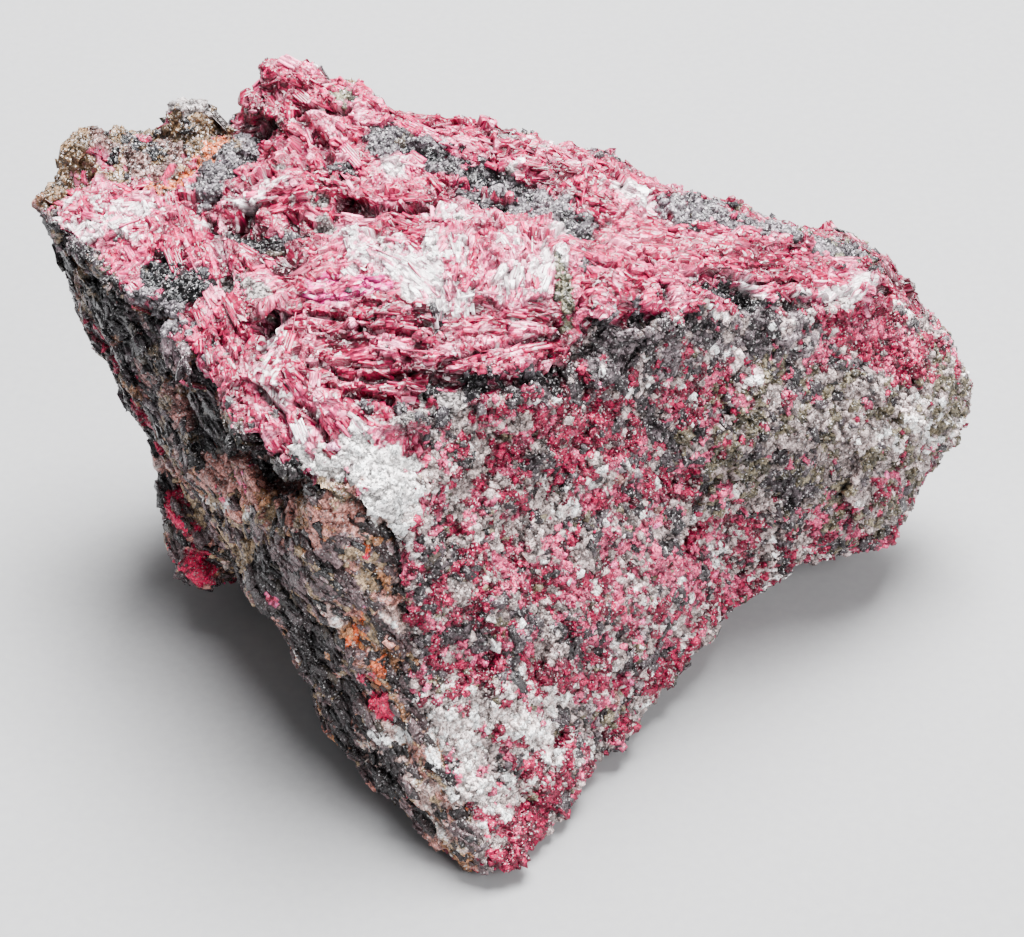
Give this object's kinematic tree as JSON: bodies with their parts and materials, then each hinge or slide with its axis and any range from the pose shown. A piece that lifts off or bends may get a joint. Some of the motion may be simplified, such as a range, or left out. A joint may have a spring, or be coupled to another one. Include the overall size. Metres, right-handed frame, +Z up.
{
  "type": "mineral specimen",
  "caption": "Hand-sized broken lump of granular quartz and dark schist, with a vein of bladed crimson and pink roselite crystals across its top; for display or study.",
  "frame": {"origin": "centre of the lump's bounding box, at the height of the flat that it rests on", "axes": "+Z up; +X along the longest side, to the right of the granular front face; +Y from the front point to the back"},
  "size_m": [0.0988, 0.0728, 0.0533],
  "materials": {
    "rock": "rough broken stone with glinting crystal faces"
  },
  "bodies": {
    "root": {"specimen": "rock"}
  },
  "joints": []
}
